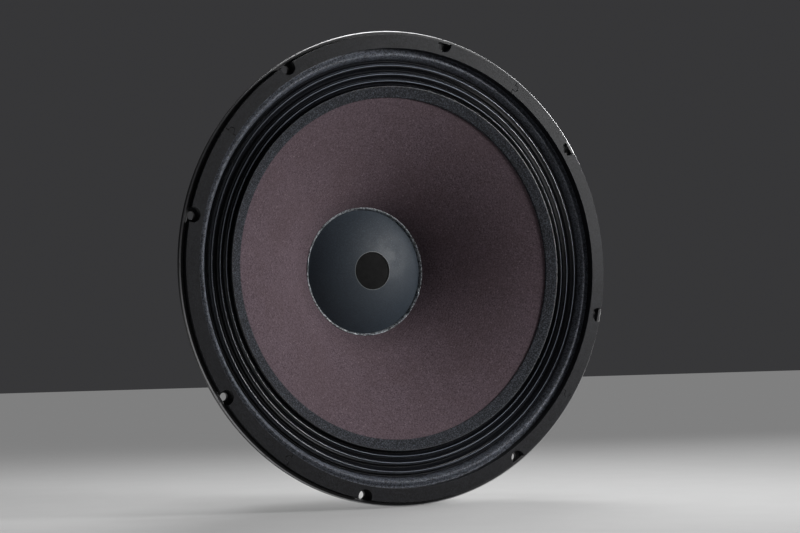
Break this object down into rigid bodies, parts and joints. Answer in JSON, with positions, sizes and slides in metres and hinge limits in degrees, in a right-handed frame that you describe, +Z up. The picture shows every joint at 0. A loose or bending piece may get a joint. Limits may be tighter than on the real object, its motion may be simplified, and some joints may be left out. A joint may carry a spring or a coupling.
{
  "type": "woofer",
  "caption": "Fifteen-inch woofer: cast basket with spokes, keyed gasket, pleated cloth surround, paper cone with a screened dust cap, ring-magnet motor and spring terminals.",
  "frame": {"origin": "on the drive axis, in the plane of the flange's back face, which seats on the baffle", "axes": "the drive axis is Y: the cone faces -Y and the magnet is at +Y; +Z is up as the picture shows the driver"},
  "size_m": [0.3859, 0.1622, 0.386],
  "materials": {
    "paint_black": "satin black paint on cast aluminium",
    "gasket": "matte, fine cork and rubber grain",
    "doped_cloth": "doped cloth, satin",
    "cone_paper": "matte felted paper",
    "cap_paper": "coated paper, satin",
    "screen": "fine woven screen",
    "glue": "dried glue, glossy",
    "former_film": "amber film, satin",
    "copper": "enamelled copper wire",
    "spider_cloth": "resin-treated woven cloth",
    "zinc_steel": "zinc plated, satin",
    "ferrite": "ground ferrite, matte",
    "dark_steel": "dark plated steel, turned",
    "board": "brown laminate",
    "nickel": "bright nickel plating",
    "red_plastic": "glossy red",
    "black_plastic": "glossy black",
    "tinsel": "braided copper tinsel"
  },
  "bodies": {
    "basket": {"frame": "paint_black", "gasket_segment_1": "gasket", "gasket_segment_2": "gasket", "gasket_segment_3": "gasket", "gasket_segment_4": "gasket", "surround": "doped_cloth", "spider": "spider_cloth", "top_plate": "zinc_steel", "magnet_ring": "ferrite", "pole_yoke": "dark_steel", "base_screws": "zinc_steel", "terminal_board": "board", "insulator_plate": "board", "board_screws": "zinc_steel", "terminal_post_red": "nickel", "terminal_post_black": "nickel", "cap_spring_red": "nickel", "cap_spring_black": "nickel", "solder_tab_red": "nickel", "solder_tab_black": "nickel", "post_nuts": "zinc_steel", "flexible_lead_red": "tinsel", "flexible_lead_black": "tinsel"},
    "cone_assembly": {"cone": "cone_paper", "dust_cap": "cap_paper", "vent_screen": "screen", "cap_glue_bead": "glue", "coil_former": "former_film", "coil_winding": "copper", "lead_anchors": "glue"},
    "cap_red": {"push_cap_red": "red_plastic"},
    "cap_black": {"push_cap_black": "black_plastic"}
  },
  "joints": [
    {"name": "cone_travel", "type": "slide", "parent": "basket", "child": "cone_assembly", "axis": [0, -1, 0], "range_m": [-0.008, 0.008], "stiffness_N_per_m": 7000, "deforming": ["surround", "spider", "flexible_lead_red", "flexible_lead_black"]},
    {"name": "push_red", "type": "slide", "parent": "basket", "child": "cap_red", "axis": [0, -1, 0], "range_m": [0, 0.003], "stiffness_N_per_m": 900, "deforming": ["cap_spring_red"]},
    {"name": "push_black", "type": "slide", "parent": "basket", "child": "cap_black", "axis": [0, -1, 0], "range_m": [0, 0.003], "stiffness_N_per_m": 900, "deforming": ["cap_spring_black"]}
  ]
}
